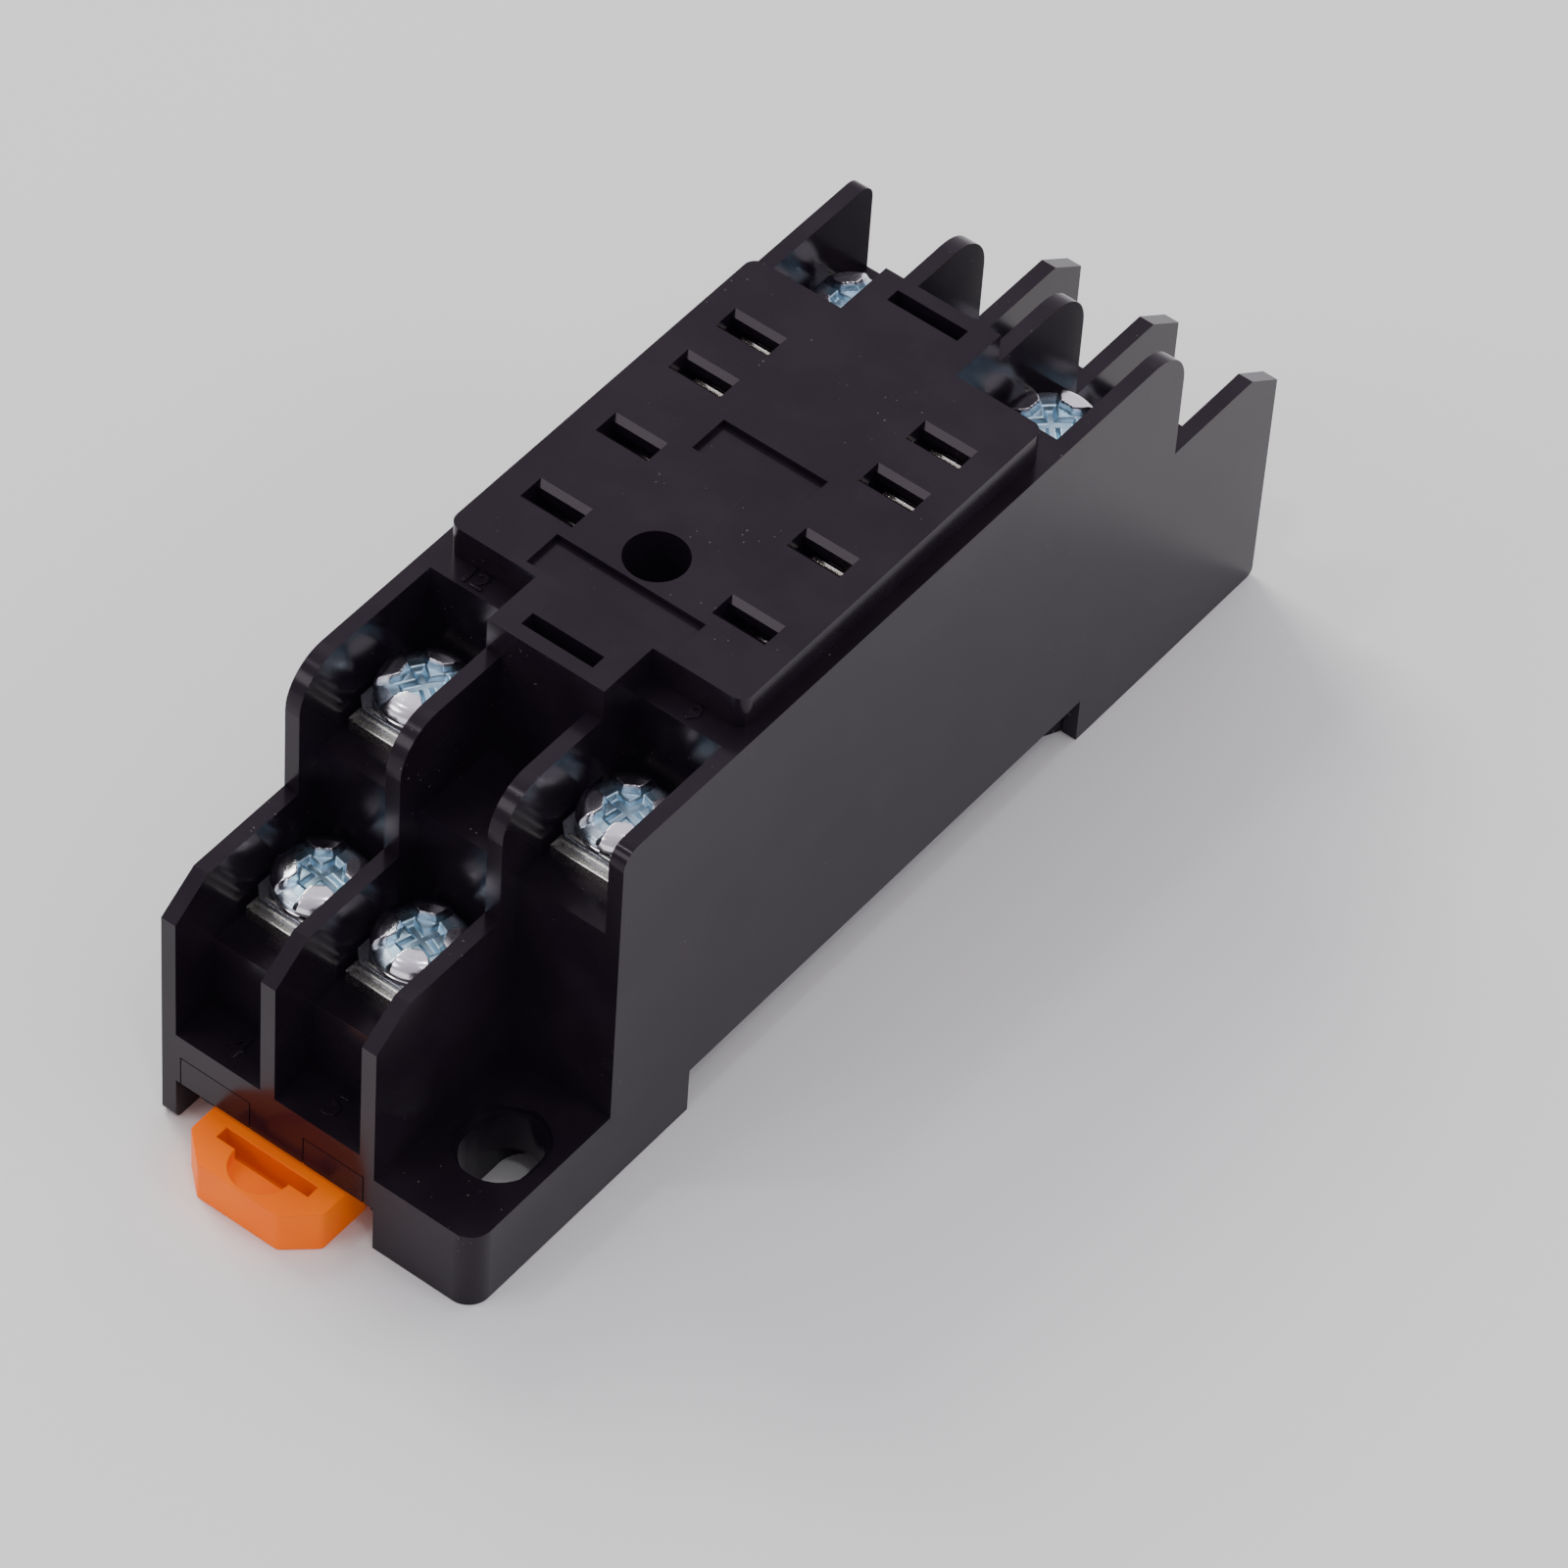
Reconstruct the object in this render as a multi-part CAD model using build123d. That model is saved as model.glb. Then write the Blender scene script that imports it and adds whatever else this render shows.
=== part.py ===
"""Screw-terminal relay socket for eight flat contacts, with a sliding rail clip.

Frame: X runs across the socket (along the rail), Y along its length and Z up.
The origin is the middle of the footprint, halfway between the two mounting
slots, on the plane of the back wall. The rail clip is at the -Y end. Seen from
above, the moulding is the same after half a turn about Z, apart from the hole,
the contact openings and the sunk panels of its platform.
"""
import os

from build123d import *

os.makedirs("parts", exist_ok=True)

# Overall moulding
width = 22.0
length = 72.0
wall_top = 27.2
platform_rise = 2.2
wall = 1.0
partition = 1.0

# Tiers of the side walls and partitions
tier_top = 18.1
tier_depth = 10.2
upper_corner = 3.0
foot_wall_corner = 1.2
tier_chamfer_y = 2.7
tier_chamfer_z = 1.9
skirt_corner = 0.5

# Floors and terminal blocks
entry_floor = 7.15
foot_top = 5.8
foot_depth = 11.62
foot_corner = 1.4
lower_block_top = 12.3
lower_block_front = 3.3
upper_block_top = 20.4
upper_block_front = 12.0
platform_inset = 0.86
platform_length = 26.7
platform_corner = 0.8
tongue_length = 34.95
block_rim = 14.9
panel_depth = 0.4
near_panel_length = 10.2
near_panel_width = 2.65
near_panel_y = -11.5
far_panel_length = 7.2
far_panel_width = 2.8
far_panel_y = 1.0

# Rail groove and base plate
groove_width = 36.0
groove_shift = 0.7
groove_depth = 3.3
base_top = 5.5
base_fit = 0.08
hook_reach = 2.2
hook_height = 1.5
hook_chamfer = 1.1
tab_left_start = 1.3
tab_left_width = 5.0
tab_right_gap = 0.7
tab_right_width = 4.3
rail_setback = 2.0

# Relay contacts
contact_inset = 4.4
contact_rows = (-8.4, -1.9, 4.45, 8.65)
slot_length = 3.6
slot_opening = 1.8
slot_throat = 1.1
slot_bevel_depth = 0.35
roof = 1.0
cavity_length = 3.8
cavity_width = 2.6
cavity_depth = 12.0
leaf = 0.4
leaf_gap = 0.5
leaf_width = 2.6
lip_height = 0.7
contact_sink = 1.0
deep_contact_sink = 2.0
cavity_fit = 0.1

# Hold-down slots, centre hole and mounting slots
hold_slot_length = 4.9
hold_slot_width = 1.0
hold_slot_depth = 5.0
hold_slot_edge = 1.45
centre_hole = 3.8
centre_hole_y = -8.0
centre_hole_depth = 20.0
mount_inset_x = 3.4
mount_inset_y = 6.5
mount_width = 4.2
mount_length = 5.2
mount_rim = 5.2
mount_rim_depth = 0.6
mount_pocket_length = 7.2
mount_pocket_depth = 2.3

# Terminals
upper_screw_setback = 4.0
lower_screw_setback = 3.4
screw_size = 3.5
thread_clearance = 0.05
shank_length = 7.0
head_gap = 0.2
head_height = 1.9
head_bevel = 0.5
drive_slot_width = 0.9
drive_slot_depth = 0.9
clamp_gap = 0.2
clamp_depth = 5.4
clamp_thickness = 0.8
clamp_corner = 0.7
clamp_groove = 0.22
clamp_groove_inset = 0.4
plate_gap = 0.3
plate_thickness = 0.9
plate_front = 3.1
plate_bend = 0.9
leg_drop = 4.5
leg_shoulder = 0.6
leg_fit = 0.1
leg_setback = 0.4
collar_height = 1.0
collar_wall = 0.6
pocket_clearance = 0.35

# Rail clip
clip_centre = -2.7
clip_width = 9.4
clip_headroom = 0.4
clip_out = 3.45
clip_chamfer_x = 1.85
clip_chamfer_y = 1.65
clip_corner = 0.5
clip_neck = 5.0
clip_arm_root = 4.4
clip_nose = 1.9
clip_nose_height = 1.5
clip_arm = 1.0
clip_arm_start = 0.8
clip_arm_turn = 0.6
clip_slot_length = 6.5
clip_slot_width = 0.9
clip_slot_back = 0.45
clip_slot_depth = 2.0
clip_recess_radius = 1.9
clip_recess_depth = 0.8
clip_play = 0.2

# Derived places
half_x = width / 2
half_y = length / 2
inner_x = half_x - wall
bay_width = (width - 2 * wall - 2 * partition) / 3
part_in = bay_width / 2
part_out = part_in + partition
bay_centre = part_out + bay_width / 2
platform_top = wall_top + platform_rise
upper_reach = half_y - tier_depth
foot_wall_reach = half_y - foot_depth
contact_x = half_x - contact_inset
hold_slot_y = tongue_length / 2 - hold_slot_edge
mount_x = half_x - mount_inset_x
mount_y = half_y - mount_inset_y
upper_screw_y = block_rim + upper_screw_setback
lower_screw_y = half_y - upper_block_front + lower_screw_setback
head_size = bay_width - 2 * head_gap
clamp_width = bay_width - 2 * clamp_gap
plate_width = bay_width - 2 * plate_gap
leg_width = plate_width - 2 * leg_shoulder
clip_thickness = groove_depth - clip_headroom
groove_near = groove_shift - groove_width / 2
groove_far = groove_shift + groove_width / 2
foot_side = part_out


def box(x0, x1, y0, y1, z0, z1):
    """Returns the upright block between two opposite corners."""
    size = (x1 - x0, y1 - y0, z1 - z0)
    middle = ((x0 + x1) / 2, (y0 + y1) / 2, (z0 + z1) / 2)
    return Pos(*middle) * Box(*size)


def side_prism(points, x0, x1, rounds=None):
    """Extrudes a closed outline in the Y-Z plane from x0 to x1, with rounded corners."""
    face = make_face(Polyline(*points, close=True))
    for index, radius in (rounds or {}).items():
        corner = face.vertices().sort_by_distance(Vector(*points[index]))[0]
        face = fillet(corner, radius)
    return extrude(Plane.YZ.offset(x0) * face, amount=x1 - x0)


def half_turn(shape):
    """Returns the copy of a shape that lies at the other end of the socket."""
    return shape.rotate(Axis.Z, 180)


def obround(size_x, size_y, depth, x, y, z):
    """Returns a round-ended cutter that is longer along Y, down from height z."""
    outline = Rot(0, 0, 90) * SlotOverall(size_y, size_x)
    return extrude(Pos(x, y, z) * outline, amount=-depth)


# Side walls and partitions
def tier_wall(x0, x1, low):
    """Half a wall beside wire entries: upper tier, then a lower tier out to the end."""
    points = [(0, low), (0, wall_top), (-upper_reach, wall_top), (-upper_reach, tier_top),
              (-half_y + tier_chamfer_y, tier_top), (-half_y, tier_top - tier_chamfer_z), (-half_y, low)]
    rounds = {2: upper_corner}
    if low == 0:
        rounds[6] = skirt_corner
    return side_prism(points, x0, x1, rounds)


def foot_wall(x0, x1):
    """Half an outer wall that stops short above a mounting foot."""
    points = [(0, 0), (0, wall_top), (-foot_wall_reach, wall_top), (-foot_wall_reach, 0)]
    return side_prism(points, x0, x1, {2: foot_wall_corner})


def stair(x0, x1, steps):
    """Fills one bay from the middle outwards; each step is (distance from the middle, height)."""
    points = [(0, base_top), (0, wall_top)]
    level = wall_top
    for reach, height in steps:
        points += [(-reach, level), (-reach, height)]
        level = height
    points += [(-half_y, level)]
    if level == entry_floor:
        points += [(-half_y, groove_depth), (-half_y + wall, groove_depth), (-half_y + wall, base_top)]
    else:
        points += [(-half_y, base_top)]
    return side_prism(points, x0, x1)


def end_half():
    """Returns the half of the moulding at the clip end, before the openings are cut."""
    upper = [(block_rim, upper_block_top), (half_y - upper_block_front, lower_block_top)]
    lower = [(half_y - lower_block_front, entry_floor)]
    outer_bay = stair(-inner_x, -part_out, upper + lower)
    middle_bay = stair(-part_in, part_in, [(tongue_length / 2, upper_block_top)] + upper[1:] + lower)
    foot_bay = stair(part_out, inner_x, [upper[0], (half_y - foot_depth, foot_top)])
    body = outer_bay + middle_bay + foot_bay
    body += tier_wall(-half_x, -inner_x, 0)
    body += tier_wall(-part_out, -part_in, groove_depth)
    body += tier_wall(part_in, part_out, groove_depth)
    body += foot_wall(inner_x, half_x)
    foot = box(foot_side, half_x, -half_y, -half_y + foot_depth, 0, foot_top)
    outer_edge = foot.edges().filter_by(Axis.Z).sort_by_distance(Vector(half_x, -half_y, foot_top / 2))[0]
    body += fillet(outer_edge, foot_corner)
    return body


# Raised platform with a tongue at each end and two shallow sunk panels
def platform():
    outline = Rectangle(width - 2 * platform_inset, platform_length) + Rectangle(2 * part_out, tongue_length)
    block = extrude(Pos(0, 0, wall_top - wall) * outline, amount=platform_rise + wall)
    corners = [e for e in block.edges().filter_by(Axis.Z)
               if abs(abs(e.center().Y) - platform_length / 2) < wall and abs(e.center().X) > part_out + wall]
    block = fillet(corners, platform_corner)
    for size_x, size_y, y in ((near_panel_length, near_panel_width, near_panel_y),
                              (far_panel_length, far_panel_width, far_panel_y)):
        block -= Pos(0, y, platform_top - panel_depth / 2) * Box(size_x, size_y, panel_depth)
    return block


# Contact openings: a throat through the roof, bevels along both long sides and a cavity below
def contact_places():
    return [(side * contact_x, row) for side in (-1, 1) for row in contact_rows]


def contact_cutter(x, y):
    rim = slot_opening / 2
    neck = slot_throat / 2
    shoulder = platform_top - slot_bevel_depth
    ceiling = platform_top - roof
    points = [(y - rim, platform_top), (y + rim, platform_top), (y + neck, shoulder), (y + neck, ceiling),
              (y - neck, ceiling), (y - neck, shoulder)]
    opening = side_prism(points, x - slot_length / 2, x + slot_length / 2)
    cavity = box(x - cavity_length / 2, x + cavity_length / 2, y - cavity_width / 2, y + cavity_width / 2,
                 ceiling - cavity_depth, ceiling)
    return opening + cavity


# Terminal places: (x, y, block height, leg distance behind the screw), and whether at the far end
def terminal_places():
    upper_back = upper_screw_setback - leg_setback
    lower_back = lower_screw_setback - leg_setback
    near = [(-bay_centre, -upper_screw_y, upper_block_top, upper_back),
            (bay_centre, -upper_screw_y, upper_block_top, upper_back),
            (-bay_centre, -lower_screw_y, lower_block_top, lower_back),
            (0.0, -lower_screw_y, lower_block_top, lower_back)]
    far = [(-x, -y, z, back) for x, y, z, back in near]
    return [(place, False) for place in near] + [(place, True) for place in far]


def terminal_cutter(y, z, back):
    """Screw pocket and leg slot of one terminal at x = 0, clip end."""
    seat = z + plate_thickness + clamp_thickness
    pocket_radius = screw_size / 2 + thread_clearance + collar_wall + pocket_clearance
    tip = seat - shank_length
    pocket = Pos(0, y, (z + tip - pocket_clearance) / 2) * Cylinder(pocket_radius, z - tip + pocket_clearance)
    leg_y = y + back
    half_slot = leg_width / 2 + leg_fit
    slot = box(-half_slot, half_slot, leg_y - plate_thickness - leg_fit, leg_y + leg_fit,
               z - leg_drop - leg_fit, z)
    return pocket + slot


def mount_opening(x, y):
    """Round-ended slot through a foot, with a shallow rim above and a longer pocket below."""
    opening = obround(mount_width, mount_length, foot_top, x, y, foot_top)
    rim_length = mount_rim + (mount_length - mount_width) / 2
    opening += obround(mount_rim, rim_length, mount_rim_depth, x, y, foot_top)
    pocket_y = y + (mount_pocket_length - mount_length) / 2
    opening += obround(mount_width, mount_pocket_length, mount_pocket_depth, x, pocket_y, mount_pocket_depth)
    return opening


def housing():
    body = end_half()
    body += half_turn(body)
    body += platform()
    # Rail groove across the back, clip channel and seat of the base plate
    body -= box(-half_x, half_x, groove_near, groove_far, 0, groove_depth)
    body -= base_seat()
    for x, y in contact_places():
        body -= contact_cutter(x, y)
    for (x, y, z, back), far in terminal_places():
        cutter = Pos(-x if far else x, 0, 0) * terminal_cutter(-abs(y), z, back)
        body -= half_turn(cutter) if far else cutter
    for y in (-hold_slot_y, hold_slot_y):
        body -= box(-hold_slot_length / 2, hold_slot_length / 2, y - hold_slot_width / 2,
                    y + hold_slot_width / 2, platform_top - hold_slot_depth, platform_top)
    hole = Cylinder(centre_hole / 2, centre_hole_depth)
    body -= Pos(0, centre_hole_y, platform_top - centre_hole_depth / 2) * hole
    opening = mount_opening(mount_x, -mount_y)
    return body - opening - half_turn(opening)


# Base plate: closes the back, holds the clip and hooks under the far rail edge
def base_outline(gap):
    """Plan of the base plate inside the walls and clear of both feet, shrunk by a gap."""
    full = Rectangle(2 * (inner_x - gap), 2 * (half_y - wall - gap))
    foot_y = half_y - foot_depth
    corner = Pos((foot_side + half_x) / 2, -(foot_y + half_y) / 2)
    cut = corner * Rectangle(half_x - foot_side + 2 * gap, half_y - foot_y + 2 * gap)
    return full - cut - cut.rotate(Axis.Z, 180)


def tabs(gap):
    """Two tongues of the base plate that show in windows of the front wall."""
    left = -half_x + tab_left_start
    right = foot_side - tab_right_gap
    spans = ((left, left + tab_left_width), (right - tab_right_width, right))
    return [box(x0 + gap, x1 - gap, -half_y, -half_y + wall + 2 * base_fit, groove_depth, base_top - gap)
            for x0, x1 in spans]


def base_seat():
    """Room for the base plate and the rail clip, cut out of the moulding."""
    seat = extrude(base_outline(0), amount=base_top)
    channel = box(-inner_x, foot_side, -half_y, -half_y + wall, 0, groove_depth)
    for window in tabs(0):
        seat += window
    return seat + channel


def base_plate():
    outline = base_outline(base_fit)
    plate = extrude(Pos(0, 0, groove_depth) * outline, amount=base_top - groove_depth)
    for tab in tabs(base_fit):
        plate += tab
    # Solid behind the far rail edge, down to the back plane, with the fixed hook
    far_zone = Pos(0, (groove_far + half_y) / 2) * Rectangle(width, half_y - groove_far)
    plate += extrude(outline & far_zone, amount=groove_depth)
    hook_x = inner_x - base_fit
    hook_edge = groove_far - hook_reach
    hook = make_face(Polyline((-hook_x, groove_far), (-hook_x + hook_chamfer, hook_edge),
                              (hook_x - hook_chamfer, hook_edge), (hook_x, groove_far), close=True))
    plate += extrude(hook, amount=hook_height)
    # Rails that guide the clip on both sides
    clip_left = clip_centre - clip_width / 2 - clip_play
    clip_right = clip_centre + clip_width / 2 + clip_play
    rail_start = -half_y + rail_setback
    plate += box(-inner_x + base_fit, clip_left, rail_start, groove_near, 0, groove_depth)
    plate += box(clip_right, foot_side - base_fit, rail_start, groove_near, 0, groove_depth)
    foot_end = -half_y + foot_depth + base_fit
    plate += box(clip_right, inner_x - base_fit, foot_end, groove_near, 0, groove_depth)
    return plate


# Rail clip: a finger piece outside, a neck with two spring arms and a nose under the rail edge
def din_clip():
    left = clip_centre - clip_width / 2
    right = clip_centre + clip_width / 2
    front = -half_y - clip_out
    head_back = -half_y + rail_setback - clip_play
    head_points = [(left, head_back), (left, front + clip_chamfer_y), (left + clip_chamfer_x, front),
                   (right - clip_chamfer_x, front), (right, front + clip_chamfer_y), (right, head_back)]
    head = extrude(make_face(Polyline(*head_points, close=True)), amount=clip_thickness)
    outer = [e for e in head.edges().filter_by(Axis.Z) if e.center().Y < -half_y]
    head = fillet(outer, clip_corner)
    nose_tip = groove_near + clip_nose
    neck_points = [(head_back, 0), (head_back, clip_thickness), (groove_near - clip_play, clip_thickness),
                   (groove_near - clip_play, clip_nose_height), (nose_tip, clip_nose_height / 2), (nose_tip, 0)]
    body = head + side_prism(neck_points, clip_centre - clip_neck / 2, clip_centre + clip_neck / 2)
    # Spring arms bow out from the neck and bear on the guide rails
    rear = groove_near - clip_arm_root
    middle = (head_back + rear) / 2
    free = head_back + clip_arm_start
    for side in (-1, 1):
        root = clip_centre + side * clip_neck / 2
        bow = clip_centre + side * (clip_width / 2 - clip_play)
        tip = bow - side * clip_arm_turn
        inward = side * clip_arm
        outer_arc = ThreePointArc((root, rear), (bow, middle), (tip, free))
        inner_arc = ThreePointArc((root, rear - 2 * clip_arm), (bow - inward, middle), (tip - inward, free))
        ends = [Line(outer_arc @ 1, inner_arc @ 1), Line(inner_arc @ 0, outer_arc @ 0)]
        body += extrude(make_face([outer_arc, inner_arc] + ends), amount=clip_thickness - clip_play)
    # Screwdriver slot against the socket, with a rounded hollow in front of it
    slot_back = -half_y - clip_slot_back
    body -= box(clip_centre - clip_slot_length / 2, clip_centre + clip_slot_length / 2,
                slot_back - clip_slot_width, slot_back, clip_thickness - clip_slot_depth, clip_thickness)
    hollow = Pos(clip_centre, slot_back - clip_slot_width, clip_thickness) * Circle(clip_recess_radius)
    front_half = Pos(clip_centre, slot_back - clip_slot_width - clip_recess_radius, clip_thickness)
    hollow &= front_half * Rectangle(2 * clip_recess_radius, 2 * clip_recess_radius)
    body -= extrude(hollow, amount=-clip_recess_depth)
    return body


# Terminal plate: a bent strip with a threaded collar, at x = 0, clip end
def terminal_plate(y, z, back):
    top = z + plate_thickness
    front = y - plate_front
    rear = y + back
    foot = z - leg_drop
    inner = rear - plate_thickness
    points = [(front, z), (front, top), (rear, top), (rear, foot), (inner, foot), (inner, z)]
    strip = side_prism(points, -plate_width / 2, plate_width / 2, {2: plate_bend})
    side = (plate_width - leg_width) / 2
    for edge in (-1, 1):
        x = edge * (plate_width / 2 - side / 2)
        strip -= box(x - side / 2, x + side / 2, y - plate_front, rear, z - leg_drop, z)
    bore = screw_size / 2 + thread_clearance
    strip += Pos(0, y, z - collar_height / 2) * Cylinder(bore + collar_wall, collar_height)
    strip -= Pos(0, y, (top + z - collar_height) / 2) * Cylinder(bore, top - z + collar_height)
    return strip


# Clamp washer: a square with cut corners and grooved underside, at x = 0, clip end
def clamp_washer(y, z):
    low = z + plate_thickness
    plate = Pos(0, y, low + clamp_thickness / 2) * Box(clamp_width, clamp_depth, clamp_thickness)
    plate = chamfer(plate.edges().filter_by(Axis.Z), clamp_corner)
    for side in (-1, 1):
        groove_y = y + side * (clamp_depth / 2 - clamp_groove_inset)
        points = [(groove_y - clamp_groove, low), (groove_y, low + clamp_groove),
                  (groove_y + clamp_groove, low)]
        plate -= side_prism(points, -clamp_width / 2, clamp_width / 2)
    bore = screw_size / 2 + thread_clearance
    return plate - Pos(0, y, low + clamp_thickness / 2) * Cylinder(bore, clamp_thickness)


# Terminal screw: a slotted head with a bevelled rim, at x = 0, clip end
def terminal_screw(y, z):
    seat = z + plate_thickness + clamp_thickness
    radius = head_size / 2
    shank = screw_size / 2
    tip = seat - shank_length
    crown = seat + head_height
    outline = make_face(Polyline((0, tip), (shank, tip), (shank, seat), (radius, seat),
                                 (radius, crown - head_bevel), (radius - head_bevel, crown), (0, crown),
                                 close=True))
    screw = revolve(Plane.XZ * outline, Axis.Z)
    screw -= Pos(0, 0, crown - drive_slot_depth / 2) * Box(head_size, drive_slot_width, drive_slot_depth)
    return Pos(0, y, 0) * screw


# Contact: a strip folded into a fork, with lips that lead the relay blade in
def contact_clip(x, y, sink):
    top = platform_top - roof - sink
    bottom = platform_top - roof - cavity_depth
    inner = leaf_gap / 2
    outer = inner + leaf
    lip = (cavity_width / 2 - cavity_fit) - leaf
    points = [(y - outer, bottom), (y - outer, top - lip_height), (y - lip - leaf, top), (y - lip, top),
              (y - inner, top - lip_height), (y - inner, bottom + leaf), (y + inner, bottom + leaf),
              (y + inner, top - lip_height), (y + lip, top), (y + lip + leaf, top),
              (y + outer, top - lip_height), (y + outer, bottom)]
    return side_prism(points, x - leaf_width / 2, x + leaf_width / 2)


def write_all():
    export_step(housing(), "parts/housing.step")
    export_step(base_plate(), "parts/base_plate.step")
    export_step(din_clip(), "parts/din_clip.step")
    for number, ((x, y, z, back), far) in enumerate(terminal_places(), 1):
        spot = Pos(-x if far else x, 0, 0)
        pieces = {"terminal_plate": terminal_plate(-abs(y), z, back), "clamp_washer": clamp_washer(-abs(y), z),
                  "terminal_screw": terminal_screw(-abs(y), z)}
        for name, piece in pieces.items():
            placed = spot * piece
            export_step(half_turn(placed) if far else placed, f"parts/{name}_{number}.step")
    for number, (x, y) in enumerate(contact_places(), 1):
        deep = y == contact_rows[0] or (x < 0 and y == contact_rows[1])
        sink = deep_contact_sink if deep else contact_sink
        export_step(contact_clip(x, y, sink), f"parts/contact_clip_{number}.step")


write_all()
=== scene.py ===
"""Looks of a black screw-terminal relay socket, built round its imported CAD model.

Units are metres in the CAD frame: X across the socket, Y along it away from the
rail clip, Z up out of the panel. Sizes of parts are written in millimetres and
multiplied by MM where they meet the scene.
"""
import logging
import math
from dataclasses import dataclass, field
from enum import Enum
from typing import ClassVar

import bmesh
import bpy
import numpy as np
from mathutils import Matrix, Vector


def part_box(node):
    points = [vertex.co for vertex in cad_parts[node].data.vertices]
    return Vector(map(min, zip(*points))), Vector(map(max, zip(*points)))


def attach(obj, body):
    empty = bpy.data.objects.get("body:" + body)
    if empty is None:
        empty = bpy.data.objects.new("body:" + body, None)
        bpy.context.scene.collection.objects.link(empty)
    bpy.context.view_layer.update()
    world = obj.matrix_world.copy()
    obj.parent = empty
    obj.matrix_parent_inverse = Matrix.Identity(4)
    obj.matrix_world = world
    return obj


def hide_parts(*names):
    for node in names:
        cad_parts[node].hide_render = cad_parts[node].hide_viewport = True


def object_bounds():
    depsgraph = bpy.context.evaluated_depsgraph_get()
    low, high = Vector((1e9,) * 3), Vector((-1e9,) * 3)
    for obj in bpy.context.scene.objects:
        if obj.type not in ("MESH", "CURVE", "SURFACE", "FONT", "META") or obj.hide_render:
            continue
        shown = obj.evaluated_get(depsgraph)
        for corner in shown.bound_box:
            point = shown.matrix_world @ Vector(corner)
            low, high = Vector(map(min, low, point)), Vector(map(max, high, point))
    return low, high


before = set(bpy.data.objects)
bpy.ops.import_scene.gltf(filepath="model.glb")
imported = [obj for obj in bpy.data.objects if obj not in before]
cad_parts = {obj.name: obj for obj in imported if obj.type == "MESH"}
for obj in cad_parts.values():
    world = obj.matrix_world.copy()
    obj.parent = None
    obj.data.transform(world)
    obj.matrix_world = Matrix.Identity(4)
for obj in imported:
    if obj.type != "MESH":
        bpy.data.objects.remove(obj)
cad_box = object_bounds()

MM = 0.001
IMAGE_SIDE = 1600
TERMINALS = tuple(range(1, 9))
FULL_TURN = 2 * math.pi
Place = tuple[float, float, float]
Colour = tuple[float, float, float, float]
log = logging.getLogger("relay_socket")


# Shader maths
class Signal:
    """A node's output socket that shader maths is written on, such as ``1 - mask * 0.4``."""

    def __init__(self, graph: "Graph", socket: bpy.types.NodeSocket) -> None:
        """Wraps one output socket of a graph."""
        self.graph = graph
        self.socket = socket

    def _math(self, operation: str, first: object, second: object) -> "Signal":
        """Adds one Math node of the given operation and returns its result."""
        return self.graph.add("ShaderNodeMath", {"operation": operation}, {0: first, 1: second})

    def __add__(self, other: object) -> "Signal":
        """Sum with a number or signal."""
        return self._math("ADD", self, other)

    __radd__ = __add__

    def __mul__(self, other: object) -> "Signal":
        """Product with a number or signal."""
        return self._math("MULTIPLY", self, other)

    __rmul__ = __mul__

    def __sub__(self, other: object) -> "Signal":
        """This signal less another."""
        return self._math("SUBTRACT", self, other)

    def __rsub__(self, other: object) -> "Signal":
        """Another value less this signal."""
        return self._math("SUBTRACT", other, self)

    def ramp(self, low: float, high: float) -> "Signal":
        """Goes smoothly from 0 at one value to 1 at another, and stays there.

        Args:
            low: Value that gives 0.
            high: Value that gives 1. It may be under low, which turns the ramp round.

        Returns:
            The ramped signal.
        """
        return self.graph.add("ShaderNodeMapRange", {"interpolation_type": "SMOOTHSTEP"},
                              {"Value": self, "From Min": low, "From Max": high})


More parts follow.
